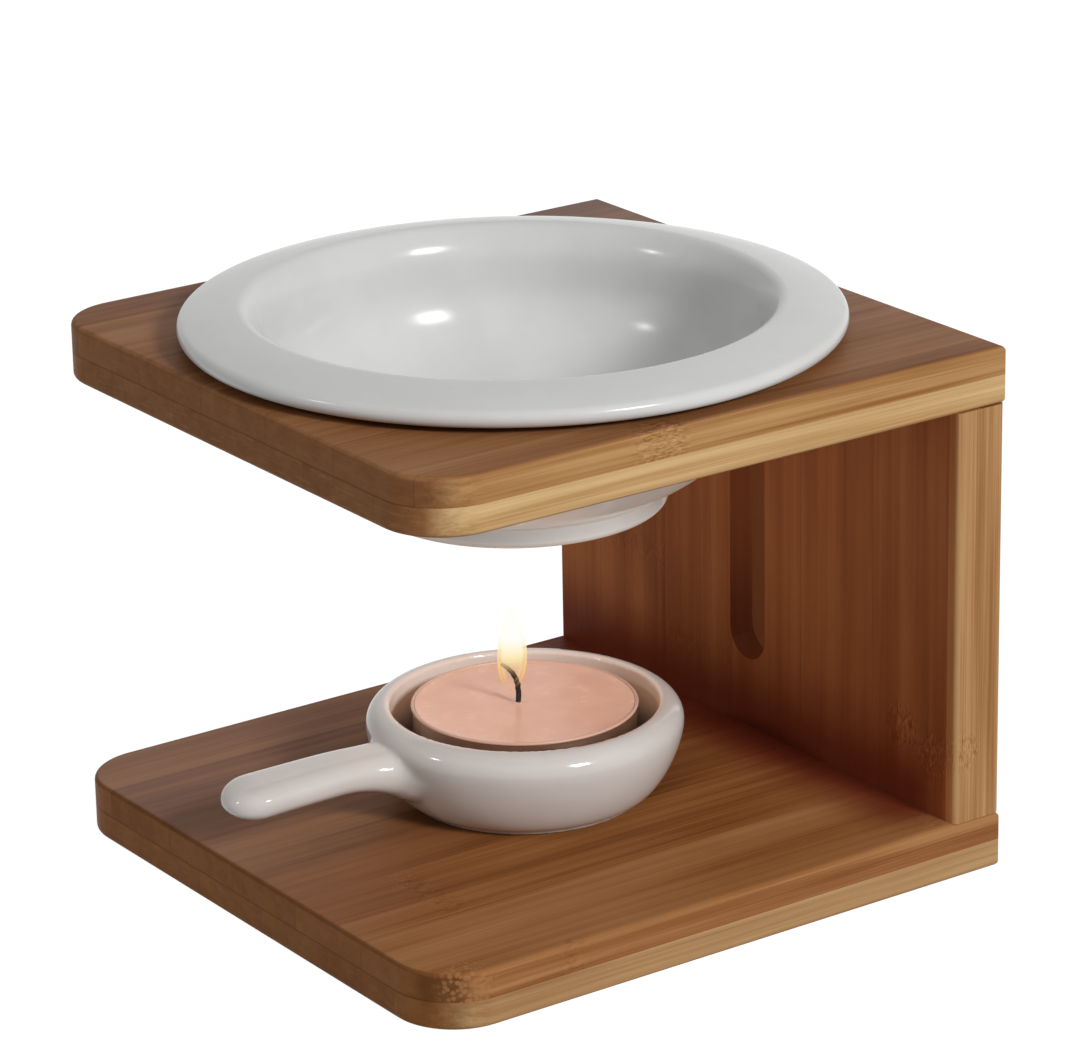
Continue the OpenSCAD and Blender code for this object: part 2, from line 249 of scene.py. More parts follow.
# Tone of the painted shade deep in the bay, and tone of the painted sheen, a pale reflection, on the upper
# faces
BAY_SHADE = (0.145, 0.021, 0.010)
BAY_SHADE_SHARE = 0.9
SHADE_OPEN, SHADE_INNER = 55.0, 44.0
SHEEN_TONE = (0.230, 0.160, 0.140)

# Half the slot's width, and the heights between which its walls change from top to foot
SLOT_HALF = 4.95
SLOT_TOP, SLOT_FOOT = 50.0, 26.0


class Bamboo(Graph):
    """Laminated bamboo: strips of differing tone with fibres along them, under layers of marks."""

    def __init__(self, name, along, across, face_tones, edge_tones, seed):
        super().__init__(name)
        self.along = along
        self.across = across
        self.thick = 3 - along - across
        self.face_tones = face_tones
        self.edge_tones = edge_tones
        self.deep_tone = shade(face_tones[0], DEEP)
        self.strip_place = self.plus(self.math("DIVIDE", self.place[across], STRIP), seed)
        strip_number = self.math("FLOOR", self.strip_place)
        self.strip_tone = self.chance(strip_number, seed)
        self.strip_shift = self.chance(strip_number, seed + 31.0)
        self.endways = self.size(self.facing[along])
        self.end = self.remap(self.endways, 0.6, 0.95)
        self.fibre = self.stretched(FIBRE, detail=3.0, roughness=0.6)
        self.streak = self.stretched(STREAK, roughness=0.55)

    def stretched(self, size, **settings):
        """Noise drawn out along the fibres, which starts anew in each strip."""
        length, width = size
        sizes = [width, width, width]
        sizes[self.along] = length
        sizes[self.thick] = FLATTENED * width
        return self.grain(sizes, self.times(self.strip_tone, STRIP_JUMP), **settings)

    def swing(self, value, amount, middle=0.5):
        """How far a value is from its middle, times an amount."""
        return self.times(self.minus(value, middle), amount)

    def scale(self, light, tones):
        """The tone at a lightness from 0 to 1."""
        return self.ramp(light, list(zip(TONE_PLACES, tones)))

    def paint(self, tone, *shares):
        """Lays a tone over what is there, as strong as the product of shares."""
        self.base = self.mix(self.times(*shares), self.base, tone)

    def knuckles(self, knots):
        """1 where a knuckle breaks up the fibres: a short band on each strip, and given spots."""
        walk = self.plus(self.math("DIVIDE", self.place[self.along], KNUCKLE_GAP), self.strip_shift)
        from_middle = self.minus(self.math("FRACT", walk), 0.5)
        distance = self.times(self.size(from_middle), KNUCKLE_GAP)
        band = self.times(self.remap(distance, KNUCKLE_REACH, 0.0), KNUCKLE_SHARE)
        return self.math("MAXIMUM", band, self.near(knots))

    def grow(self, calm, knots, edge_turn):
        """The bare wood, with tones of their own on the outer long edges."""
        fine = self.plus(self.swing(self.fibre, FIBRE_SWING), self.swing(self.streak, STREAK_SWING))
        squiggle = self.stretched(SQUIGGLE, distortion=1.8)
        wander = self.times(self.swing(squiggle, SQUIGGLE_SWING, 0.52), self.knuckles(knots))
        broad = self.plus(self.swing(self.strip_tone, STRIP_SWING),
                          self.swing(self.stretched(BAND), BAND_SWING),
                          self.swing(self.stretched(CLOUD), CLOUD_SWING), 0.5, wander)
        face_light = self.math("ADD", broad, self.times(fine, calm), clamp=True)
        edge_light = self.math("ADD", broad, fine, clamp=True)
        contrast = self.remap(self.end, 0.0, 1.0, 1.0, END_CONTRAST)
        face_light = self.plus(self.swing(face_light, contrast), 0.5)
        outside = self.remap(self.size(self.place[self.across]), EDGE_FROM, EDGE_FULL)
        self.edge = self.times(self.remap(self.size(self.facing[self.across]), *edge_turn), outside)
        self.base = self.mix(self.edge, self.scale(face_light, self.face_tones),
                             self.scale(edge_light, self.edge_tones))

    def cut_ends(self, corner_dark, glue):
        """Flecks that lie along the ply, dark rounded corners, and the joint with the next ply."""
        sizes = [FLECK_LENGTH, FLECK_LENGTH, FLECK_LENGTH]
        sizes[self.thick] = FLECK_WIDTH
        fleck = self.remap(self.grain(sizes, detail=3.0, roughness=0.6), 0.50, 0.72)
        self.paint(self.edge_tones[1], fleck, self.end, FLECK_SHARE)
        corner = self.times(self.remap(self.endways, 0.25, 0.6), self.remap(self.endways, 1.0, 0.85))
        self.paint(self.deep_tone, corner, corner_dark)
        self.paint(self.deep_tone, self.end, END_SHARE)
        if glue:
            from_glue = self.size(self.minus(self.place[2], glue))
            self.paint(self.deep_tone, self.remap(from_glue, GLUE_HALF, 0.05), self.end, GLUE_SHARE)

    def dots(self, specks):
        """Pale dots where the bundles of a knuckle show."""
        cells = self.add("TexVoronoi", {"Vector": self.point, "Scale": 1 / DOT_PITCH})
        dot = self.remap(cells["Distance"], 0.56, 0.32)
        self.paint(self.edge_tones[2], dot, self.near(specks), DOT_SHARE)

    def strip_joints(self):
        """Thin dark joints between strips, which the outer edges don't show."""
        from_middle = self.size(self.minus(self.math("FRACT", self.strip_place), 0.5))
        from_joint = self.times(self.minus(0.5, from_middle), STRIP)
        joint = self.times(self.remap(from_joint, STRIP_JOINT, 0.02), JOINT_SHARE)
        self.joint = self.times(joint, self.minus(1.0, self.edge))
        self.paint(shade(self.face_tones[0], JOINT_DEEP), self.joint)

    def rubbed_edges(self):
        """Rounded edges along the faces, rubbed a little lighter."""
        upright = self.size(self.facing[2])
        widest = upright
        for axis in (0, 1):
            widest = self.math("MAXIMUM", widest, self.size(self.facing[axis]))
        self.paint(self.edge_tones[1], self.remap(widest, 0.96, 0.75), self.remap(upright, 0.15, 0.4),
                   RUBBED_SHARE)

    def painted_sheen(self, direction, start, full, share):
        """A painted sheen on the upper face: a pale reflection that grows along a level direction."""
        reach = self.level_dot(self.place, direction)
        self.paint(SHEEN_TONE, self.remap(reach, start, full), self.remap(self.facing[2], 0.8, 0.95), share)

    def painted_bay_shade(self, axis, clear, dark):
        """Painted shade in the bay's inner corner, on faces that look into the bay."""
        into_bay = self.facing[2] if axis == 1 else self.times(self.facing[1], -1.0)
        deep = self.remap(self.place[axis], clear, dark)
        inner = self.remap(self.place[0], SHADE_OPEN, SHADE_INNER)
        self.paint(BAY_SHADE, deep, inner, self.remap(into_bay, 0.5, 0.8), BAY_SHADE_SHARE)

    def slot_walls(self, tone, top_share, foot_share):
        """A tone on the walls of the panel's slot, such as painted shade."""
        between = self.remap(self.size(self.place[0]), SLOT_HALF, SLOT_HALF - 0.1)
        wall = self.remap(self.size(self.facing[1]), 0.9, 0.5)
        share = self.remap(self.place[2], SLOT_TOP, SLOT_FOOT, top_share, foot_share)
        self.paint(tone, between, wall, share)

    def oiled(self):
        """The finished material: satin, with the fibres and joints in relief."""
        roughness = self.remap(self.fibre, 0.3, 0.7, 0.56, 0.42)
        relief = self.plus(self.times(self.fibre, 0.7), self.times(self.streak, 0.3))
        relief = self.minus(relief, self.times(self.joint, 0.8))
        return self.principled(Base_Color=self.base, Roughness=roughness, Specular_IOR_Level=0.04,
                               Normal=self.bump(relief, 0.05, 0.6))


def bamboo(ply, fibres, face_tones, edge_tones, seed, calm, corner_dark=0.0, edge_turn=(0.60, 0.97),
           painted_sheen=None, knots=(), specks=(), painted_bay_shade=None, glue=None, slot=None):
    """Makes a ply of laminated bamboo.

    fibres is the axis number along the fibres and the one across them. Tones are dark, middle and light.
    calm is the share of the fibres' contrast that the faces keep. The outer edges keep all of it.
    corner_dark is how far the rounded corners have darkened.
    edge_turn is how far a surface has turned outwards where the edge tones start, and where they are full.
    Painted sheen, a pale reflection: a level direction, two distances where it grows, and its greatest
    share.
    Knots and specks are spots where a knuckle breaks up the fibres, or shows its bundles as pale dots.
    Painted shade deep in the bay is given as an axis and two places on it between which it darkens.
    glue is the height of the joint with the next ply.
    slot is the tone of the slot's walls, with its share at the slot's top and at its foot.
    """
    wood = Bamboo(ply + "_bamboo", *fibres, face_tones, edge_tones, seed)
    wood.grow(calm, knots, edge_turn)
    wood.cut_ends(corner_dark, glue)
    if specks:
        wood.dots(specks)
    wood.strip_joints()
    wood.rubbed_edges()
    if painted_sheen:
        wood.painted_sheen(*painted_sheen)
    if painted_bay_shade:
        wood.painted_bay_shade(*painted_bay_shade)
    if slot:
        wood.slot_walls(*slot)
    coat(ply + "_ply", wood.oiled())


TOP_BROWN = ((0.130, 0.045, 0.016), (0.260, 0.110, 0.042), (0.370, 0.185, 0.085))
BASE_BROWN = ((0.120, 0.036, 0.009), (0.275, 0.106, 0.032), (0.390, 0.185, 0.070))
RED_BROWN = ((0.285, 0.080, 0.023), (0.465, 0.160, 0.052), (0.585, 0.245, 0.092))
TAN = ((0.270, 0.115, 0.036), (0.400, 0.210, 0.083), (0.510, 0.300, 0.130))
HONEY = ((0.400, 0.222, 0.080), (0.540, 0.345, 0.163), (0.640, 0.440, 0.220))
DARK_TAN = ((0.224, 0.090, 0.029), (0.347, 0.166, 0.067), (0.459, 0.260, 0.116))
BASE_TAN = ((0.185, 0.064, 0.018), (0.286, 0.116, 0.041), (0.385, 0.185, 0.073))
DARK_HONEY = ((0.290, 0.145, 0.054), (0.400, 0.230, 0.104), (0.500, 0.320, 0.155))
AMBER = ((0.281, 0.125, 0.043), (0.411, 0.220, 0.093), (0.520, 0.319, 0.150))
FIBRES_BACK = (1, 0)
FIBRES_UP = (2, 0)

# Painted sheen, a pale reflection, on each board's upper face
TOP_SHEEN = ((-1.0, 1.0), -32.0, 95.0, 0.62)
BASE_SHEEN = ((-1.0, -0.9), -10.0, 90.0, 0.45)

# Painted shade in the bay's corner
BASE_BAY_SHADE = (1, 30.0, 44.0)
PANEL_BAY_SHADE = (2, 27.0, 12.0)

# Walls of the slot, as tone and share at the top and foot: painted shade on the front ply, the front ply's
# red-brown on the back ply
FRONT_SLOT = (BAY_SHADE, 0.2, 0.72)
BACK_SLOT = (RED_BROWN[1], 0.70, 0.60)

# Heights of the joints between the plies
TOP_GLUE = box_mm("top_upper_ply")[0].z
BASE_GLUE = box_mm("base_upper_ply")[0].z

# Knuckles that show, as (middle, radius)
TOP_KNOTS = (((55.0, -12.0, 87.0), 7.0),)
BASE_SPECKS = (((53.7, -48.8, 7.6), 6.0),)
PANEL_KNOTS = (((41.5, 46.0, 22.5), 5.5), ((49.5, 46.0, 20.0), 5.5), ((55.0, 48.0, 22.0), 4.5))

bamboo("top_upper", FIBRES_BACK, TOP_BROWN, TAN, seed=3.37, calm=0.45, corner_dark=0.22, painted_sheen=TOP_SHEEN,
       knots=TOP_KNOTS, glue=TOP_GLUE)
bamboo("top_lower", FIBRES_BACK, TOP_BROWN, HONEY, seed=8.81, calm=0.45, glue=TOP_GLUE)
bamboo("base_upper", FIBRES_BACK, BASE_BROWN, BASE_TAN, seed=6.19, calm=0.40, corner_dark=0.60,
       painted_sheen=BASE_SHEEN, specks=BASE_SPECKS, painted_bay_shade=BASE_BAY_SHADE, glue=BASE_GLUE)
bamboo("base_lower", FIBRES_BACK, BASE_BROWN, DARK_HONEY, seed=2.73, calm=0.40, corner_dark=0.30,
       glue=BASE_GLUE)
bamboo("panel_front", FIBRES_UP, RED_BROWN, DARK_TAN, seed=5.23, calm=0.25, edge_turn=(0.12, 0.45),
       knots=PANEL_KNOTS, painted_bay_shade=PANEL_BAY_SHADE, slot=FRONT_SLOT)
bamboo("panel_back", FIBRES_UP, TOP_BROWN, AMBER, seed=1.64, calm=0.45, slot=BACK_SLOT)


# Other materials

# Clouds and waves of the glaze, its pinholes, and the clay under it
GLAZE_CLOUD, GLAZE_WAVE = 9.0, 14.0
CLOUD_DIP = 0.97
PIT = (0.42, 0.36, 0.29)
PIT_SIZE, PIT_SHARE = 0.5, 0.12
CLAY = ((0.40, 0.35, 0.29), (0.52, 0.47, 0.40))
CLAY_GRAIN, CLAY_ROUGH = 0.3, 0.6

# Distance from the axis times how far a wall faces away: where painted light and shade end, and are full
UNLIT, LIT = 7.0, -14.0
# Painted shade deep down the pan's inside wall: its tone, its share, and how far below the rim it starts
DEPTH_SHADE = (0.16, 0.10, 0.07)
DEPTH_SHADE_SHARE = 0.7
DEPTH_SHADE_BELOW = 3.0

# Tones of the wax, its sides, and its painted glow
WAX_TONES = ((0.70, 0.40, 0.29), (0.76, 0.46, 0.34))
WAX_SIDE = (0.70, 0.39, 0.27)
WAX_PAINTED_GLOW = (1.0, 0.55, 0.42)
METAL = ((0.34, 0.25, 0.20), (0.45, 0.35, 0.29))
WAX_FILM = (0.70, 0.43, 0.32)
SOAKED_COTTON = ((0.48, 0.25, 0.16), (0.62, 0.36, 0.25))
BURNT_COTTON = ((0.004, 0.003, 0.003), (0.022, 0.016, 0.013))
EMBER = (1.0, 0.22, 0.04)
BEECH = ((0.48, 0.29, 0.14), (0.70, 0.50, 0.30))


def glaze(name, tint, foot, gloss, shine, glow):
    """Gloss white glaze over clay.

    foot is the height of the foot, where the clay is bare, and how far up the bare clay reaches.
    gloss is the least and most roughness, and shine is how strongly the glaze mirrors.
    glow is painted candlelight in the glaze: an upright axis, two heights where it grows on the inside
    wall round it, and the light's strength and tone. With no axis, it is on what faces down.
    """
    graph = Graph(name)
    place, facing = graph.place, graph.facing
    cloud = graph.even_grain(GLAZE_CLOUD, detail=3.0)
    tone = graph.mix(graph.remap(cloud, 0.35, 0.65), shade(tint, CLOUD_DIP), tint)
    pits = graph.times(graph.remap(graph.even_grain(PIT_SIZE, detail=1.0), 0.74, 0.80), PIT_SHARE)
    tone = graph.mix(pits, tone, PIT)
    foot_z, foot_reach = foot
    low_down = graph.remap(place[2], foot_z + foot_reach, foot_z)
    bare = graph.times(low_down, graph.remap(facing[2], -0.6, -0.9))
    clay = graph.mix(graph.even_grain(CLAY_GRAIN), *CLAY)
    base = graph.mix(bare, tone, clay)
    roughness = graph.plus(graph.remap(cloud, 0.3, 0.7, *gloss), graph.times(bare, CLAY_ROUGH))
    axis, low, high, level, warmth = glow
    if axis:
        outward = [graph.minus(place[k], axis[k]) for k in range(2)]
        lit = graph.remap(graph.level_dot(outward, facing), UNLIT, LIT)
        # Painted shade, darker down the inside wall
        deep = graph.times(lit, graph.remap(place[2], high - DEPTH_SHADE_BELOW, low), DEPTH_SHADE_SHARE)
        base = graph.mix(deep, base, DEPTH_SHADE)
    else:
        lit = graph.remap(facing[2], 0.25, -0.25)
    # Painted candlelight: the glaze gives off light where the candle would light it
    soaked = graph.times(lit, graph.remap(place[2], low, high), level)
    waves = graph.even_grain(GLAZE_WAVE, detail=1.0)
    return graph.principled(Base_Color=base, Roughness=roughness, IOR=1.5, Specular_IOR_Level=shine,
                            Emission_Color=warmth, Emission_Strength=soaked,
                            Normal=graph.bump(waves, 0.10, 0.5))


def wax(name, top_z):
    """Peach wax with a painted glow for the flame's light in it, cloudy on top and plain at the sides."""
    graph = Graph(name)
    cloud = graph.even_grain(6.0, detail=3.0)
    tone = graph.mix(graph.remap(cloud, 0.3, 0.7), *WAX_TONES)
    below = graph.remap(graph.place[2], top_z + 0.2, top_z - 2.0)
    base = graph.mix(below, tone, WAX_SIDE)
    roughness = graph.remap(cloud, 0.35, 0.65, 0.20, 0.28)
    return graph.principled(Base_Color=base, Roughness=roughness, IOR=1.44, Specular_IOR_Level=0.12,
                            Subsurface_Weight=0.35, Subsurface_Radius=(1.0, 0.45, 0.25),
                            Subsurface_Scale=2.5 * MM, Emission_Color=WAX_PAINTED_GLOW,
                            Emission_Strength=0.14, Normal=graph.bump(cloud, 0.05, 0.3))


def pressed_metal(name, rim_z):
    """Thin bright aluminium with faint drawing marks, and a film of wax over the rim at rim_z."""
    graph = Graph(name)
    marks = graph.grain((5.0, 5.0, 0.18))
    base = graph.mix(graph.even_grain(2.5), *METAL)
    film = graph.remap(graph.place[2], rim_z - 0.65, rim_z - 0.35)
    base = graph.mix(film, base, WAX_FILM)
    roughness = graph.remap(marks, 0.3, 0.7, 0.34, 0.48)
    return graph.principled(Base_Color=base, Metallic=graph.minus(1.0, film), Roughness=roughness,
                            Normal=graph.bump(marks, 0.01, 0.5))


def charred_cotton(name, low_z, high_z):
    """Cotton wick, soaked and brown at the wax and charred black above, with a glowing tip."""
    graph = Graph(name)
    fuzz = graph.even_grain(0.16, detail=3.0)
    char = graph.remap(graph.place[2], low_z + 0.1, low_z + 0.5)
    soaked = graph.mix(fuzz, *SOAKED_COTTON)
    burnt = graph.mix(fuzz, *BURNT_COTTON)
    tip = graph.remap(graph.place[2], high_z - 0.8, high_z)
    ember = graph.times(tip, graph.remap(fuzz, 0.4, 0.6), 0.5)
    return graph.principled(Base_Color=graph.mix(char, soaked, burnt), Roughness=0.9,
                            Emission_Color=EMBER, Emission_Strength=ember,
                            Normal=graph.bump(fuzz, 0.08, 0.8))


def dowel_wood(name):
    """Bare beech with short flecks along the dowel."""
    graph = Graph(name)
    fleck = graph.grain((0.4, 0.4, 3.0))
    base = graph.mix(fleck, *BEECH)
    return graph.principled(Base_Color=base, Roughness=0.65, Normal=graph.bump(fleck, 0.03, 0.6))


# Geometry helpers, in millimetres

def curve(start, first_pull, second_pull, end, steps):
    """Points along a cubic curve between two ends that two points pull at."""
    t = np.linspace(0, 1, steps + 1)[:, None]
    u = 1 - t
    weights = np.hstack((u * u * u, 3 * u * u * t, 3 * u * t * t, t * t * t))
    return (weights @ np.array((start, first_pull, second_pull, end))).tolist()


def step(start, length, angle):
    """The point at a length from a start, in a direction given as an angle in degrees."""
    turn = math.radians(angle)
    return start[0] + length * math.cos(turn), start[1] + length * math.sin(turn)


def arc(middle, radius, start, end, steps):
    """Points along an arc from one angle to another, in degrees."""
    return [step(middle, radius, start + (end - start) * i / steps) for i in range(steps + 1)]


def put(name, data):
    """A new object in the scene."""
    made = bpy.data.objects.new(name, data)
    scene.collection.objects.link(made)
    return made


def new_piece(name, shape, material, body, replaced=(), crease=40):
    """A smooth mesh of points in millimetres and faces, riding on a body."""
    points, faces = shape
    mesh = bpy.data.meshes.new(name)
    mesh.from_pydata([Vector(point) * MM for point in points], [], faces)
    build = bmesh.new()
    build.from_mesh(mesh)
    bmesh.ops.remove_doubles(build, verts=build.verts, dist=0.001 * MM)
    bmesh.ops.recalc_face_normals(build, faces=build.faces)
    build.to_mesh(mesh)
    build.free()
    mesh.shade_smooth()
    mesh.set_sharp_from_angle(angle=math.radians(crease))
    mesh.materials.append(material)
    piece = put(name, mesh)
    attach(piece, body)
    if replaced:
        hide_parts(*replaced)
    return piece


def ring_faces(rings, around):
    """Quads between rings of points, each closed on itself."""
    faces = []
    for low in range(0, (rings - 1) * around, around):
        high = low + around
        for i in range(around):
            j = (i + 1) % around
            faces.append((low + i, low + j, high + j, high + i))
    return faces


def lathe(section, middle, around, shape=None):
    """Points and faces of a section turned about an upright axis. shape(r, z, angle) may move a point."""
    points = []
    for r, z in section:
        for i in range(around):
            angle = 2 * math.pi * i / around
            out, up = shape(r, z, angle) if shape else (r, z)
            points.append((middle[0] + out * math.cos(angle), middle[1] + out * math.sin(angle), up))
    return points, ring_faces(len(section), around)


# Warming dish

dish_low, dish_high = box_mm("warming_dish")
board_top = box_mm("top_upper_ply")[1].z
dish_axis = ((dish_low.x + dish_high.x) / 2, (dish_low.y + dish_high.y) / 2)
dish_r = (dish_high.x - dish_low.x) / 2
BRIM_W = 9.05
BRIM_T = 3.0
BRIM_LIFT = 1.0
BRIM_CROWN = 1.7
BRIM_BOW = (1.5, 0.5)
CREST_IN = 9.8
LIP_R = 2.2
LIP_TURN = 48.0
DISH_WALL = 4.8
DISH_FLOOR = 6.6
FOOT_R = 24.7
FOOT_W = 3.0
FOOT_H = 2.9
FOOT_ROUND = 1.4
FOOT_FILLET = 1.2
FOOT_RECESS = 1.0
FLARE_LEAN = 21.0
FLAT_SHARE = 0.57
SEAT_FILLET = 0.63
SEAT_OUT = 2.5
WALL_TOP = -2.0
INSIDE_TOP = -4.0
DISH_AROUND = 192


def dish_section():
    """The dish from its axis out under the bowl, round the brim and back over the inside."""
    rise = BRIM_LIFT + BRIM_T + BRIM_CROWN
    foot = dish_low.z - board_top
    bowl_r = dish_r - BRIM_W
    bowl_in = bowl_r - DISH_WALL
    fillet = (FOOT_R + FOOT_FILLET, foot + FOOT_H)
    flare = step(fillet, FOOT_FILLET, 90 + FLARE_LEAN)
    flare_reach = 0.35 * (bowl_r - flare[0])
    wall_reach = 0.45 * (WALL_TOP - flare[1])
    floor_z = foot + DISH_FLOOR
    floor_r = FLAT_SHARE * FOOT_R
    drop = INSIDE_TOP - floor_z
    edge_r = BRIM_T / 2
    edge = (dish_r - edge_r, BRIM_LIFT + edge_r)
    crest = (dish_r - CREST_IN, rise - LIP_R)
    slope = math.degrees(math.atan2(BRIM_CROWN, edge[0] - crest[0]))
    edge_angle = 90 - BRIM_BOW[0] * slope
    crest_angle = 90 - BRIM_BOW[1] * slope
    brim_out = step(edge, edge_r, edge_angle)
    brim_in = step(crest, LIP_R, crest_angle)
    reach = 0.35 * math.dist(brim_out, brim_in)
    lip_end = step(crest, LIP_R, 90 + LIP_TURN)
    lip_reach = 0.45 * (lip_end[1] - INSIDE_TOP)
    section = [(0, foot + FOOT_RECESS), (FOOT_R - FOOT_W, foot + FOOT_RECESS)]
    section += [(FOOT_R - FOOT_W + FOOT_RECESS / 2, foot)]
    section += arc((FOOT_R - FOOT_ROUND, foot + FOOT_ROUND), FOOT_ROUND, -90, 0, 6)
    section += arc(fillet, FOOT_FILLET, 180, 90 + FLARE_LEAN, 8)
    section += curve(flare, step(flare, flare_reach, FLARE_LEAN),
                     (bowl_r, WALL_TOP - wall_reach), (bowl_r, WALL_TOP), 28)[1:]
    section += arc((bowl_r + SEAT_FILLET, -SEAT_FILLET), SEAT_FILLET, 180, 90, 6)
    section += [(bowl_r + SEAT_OUT, 0)]
    section += arc(edge, edge_r, -90, edge_angle, 16)
    section += curve(brim_out, step(brim_out, reach, 90 + edge_angle),
                     step(brim_in, -reach, 90 + crest_angle), brim_in, 12)[1:]
    section += arc(crest, LIP_R, crest_angle, 90 + LIP_TURN, 14)[1:]
    section += curve(lip_end, step(lip_end, lip_reach, 180 + LIP_TURN),
                     (bowl_in, INSIDE_TOP + lip_reach), (bowl_in, INSIDE_TOP), 16)[1:]
    section += curve((bowl_in, INSIDE_TOP), (bowl_in, INSIDE_TOP - 0.45 * drop),
                     (floor_r + 0.60 * (bowl_in - floor_r), floor_z), (floor_r, floor_z), 32)[1:]
    section += [(floor_r * share, floor_z) for share in (0.75, 0.5, 0.25, 0)]
    return [(r, board_top + z) for r, z in section]


# Painted candlelight under the dish, which the glaze gives off
DISH_PAINTED_GLOW = (None, board_top - 6.0, board_top - 14.0, 0.14, (1.0, 0.74, 0.56))

dish_glaze = glaze("dish_glaze", (0.640, 0.640, 0.635), foot=(dish_low.z, 0.8), gloss=(0.16, 0.20),
                   shine=0.25, glow=DISH_PAINTED_GLOW)
dish_shape = lathe(dish_section(), dish_axis, DISH_AROUND)
new_piece("dish_glazed", dish_shape, dish_glaze, "dish", ["warming_dish"])


# Candle pan: a turned body and a swept handle, melted together as one smooth skin

pan_low, pan_high = box_mm("candle_pan")
PAN_R = (pan_high.x - pan_low.x) / 2
pan_axis = ((pan_low.x + pan_high.x) / 2, pan_high.y - PAN_R)
PAN_H = pan_high.z - pan_low.z
PAN_WALL = 4.0
PAN_FLOOR = 3.8
PAN_FOOT_R = PAN_R - 6.4
PAN_FOOT_W = 3.6
PAN_FOOT_ROUND = 0.8
PAN_RECESS = 0.7
RIM_OUT = 0.86 * PAN_WALL
RIM_IN = PAN_WALL - RIM_OUT
SEAT_R = 19.0
HANDLE_TIP = PAN_R + 28.9
HANDLE_ROOT = PAN_R - 3.8
HANDLE_W = 9.8
TIP_W = 11.4
HANDLE_T = 5.8
HANDLE_BELOW = 5.2
HANDLE_FALL = 1.6
FALL_POWER = 1.5
HANDLE_TURN = 6.0
ROOT_RUN = 14.0
SPREAD_RUN = 9.0
ROOT_SPREAD = 3.0
ROOT_THICK = 2.0
ROOT_DIP = 2.7
SQUARE = 2.5

# Width of the handle's melted joint below and on top, and where it widens downwards and fades inwards
BLEND = 2.6
TOP_BLEND = 0.5
BLEND_BELOW, BLEND_RUN = 3.0, 4.0
BLEND_INSIDE, BLEND_FADE = 2.6, 2.0
LEAST_BLEND = 0.02

# Cells of the grid that the skin is found in, and the room round the pan
SKIN_PITCH = 0.5
SKIN_ROOM = (2.0, 2.0, 1.5)
SETTLE_ROUNDS = 4
SETTLE_REACH = 0.04
SETTLE_MOST = 0.3
LEAST_SLOPE = 0.05


def pan_section():
    """The pan from its axis out under the foot, round the rim and back over the inside."""
    wide_z = PAN_H - RIM_OUT
    rise = wide_z - PAN_FOOT_ROUND
    inside_r = PAN_R - PAN_WALL
    inside_z = PAN_H - RIM_IN
    drop = inside_z - PAN_FLOOR
    section = [(0, PAN_RECESS), (PAN_FOOT_R - PAN_FOOT_W, PAN_RECESS)]
    section += [(PAN_FOOT_R - PAN_FOOT_W + PAN_RECESS / 2, 0)]
    section += arc((PAN_FOOT_R - PAN_FOOT_ROUND, PAN_FOOT_ROUND), PAN_FOOT_ROUND, -90, 0, 5)
    section += curve((PAN_FOOT_R, PAN_FOOT_ROUND),
                     (PAN_FOOT_R + 0.48 * (PAN_R - PAN_FOOT_R), PAN_FOOT_ROUND + 0.05 * rise),
                     (PAN_R, wide_z - 0.28 * rise), (PAN_R, wide_z), 18)
    section += arc((PAN_R - RIM_OUT, wide_z), RIM_OUT, 0, 90, 9)
    section += arc((inside_r + RIM_IN, inside_z), RIM_IN, 90, 180, 9)
    section += curve((inside_r, inside_z), (inside_r, inside_z - 0.6 * drop),
                     (inside_r, PAN_FLOOR), (SEAT_R, PAN_FLOOR), 14)
    section += [(0, PAN_FLOOR)]
    return np.array(section)


def section_distance(section, r, z):
    """Signed distance from points to a turned section, whose ends lie on the axis."""
    nearest = np.full(r.shape, 1e9)
    inside = np.zeros(r.shape, dtype=bool)
    for (r0, z0), (r1, z1) in zip(section[:-1], section[1:]):
        dr, dz = r1 - r0, z1 - z0
        length = dr * dr + dz * dz
        if length < 1e-12:
            continue
        share = np.clip(((r - r0) * dr + (z - z0) * dz) / length, 0, 1)
        nearest = np.minimum(nearest, np.hypot(r - r0 - share * dr, z - z0 - share * dz))
        if dz != 0:
            crosses = (z0 > z) != (z1 > z)
            inside ^= crosses & (r < r0 + dr * (z - z0) / dz)
    return np.where(inside, -nearest, nearest)


def handle_distance(x, y, z):
    """Rough signed distance to the handle, whose length runs along -Y."""
    at = -y
    along = np.clip((at - HANDLE_ROOT) / (HANDLE_TIP - HANDLE_ROOT), 0, 1)
    tip_start = HANDLE_TIP - TIP_W / 2
    root = np.clip(1 - (at - HANDLE_ROOT) / ROOT_RUN, 0, 1) ** 2
    spread = np.clip(1 - (at - HANDLE_ROOT) / SPREAD_RUN, 0, 1) ** 2
    widen = np.clip((at - HANDLE_ROOT) / (tip_start - HANDLE_ROOT), 0, 1)
    half_w = (HANDLE_W + (TIP_W - HANDLE_W) * widen) / 2 + ROOT_SPREAD * spread
    half_t = HANDLE_T / 2 + ROOT_THICK * root
    middle = PAN_H - HANDLE_BELOW - ROOT_DIP * root - HANDLE_FALL * along ** FALL_POWER
    ring = (np.abs(x / half_w) ** SQUARE + np.abs((z - middle) / half_t) ** SQUARE) ** (2 / SQUARE)
    tip = np.clip((at - tip_start) / (HANDLE_TIP - tip_start), 0, None) ** 2
    size = np.sqrt(ring + tip)
    return np.maximum((size - 1) * half_t, HANDLE_ROOT - at)


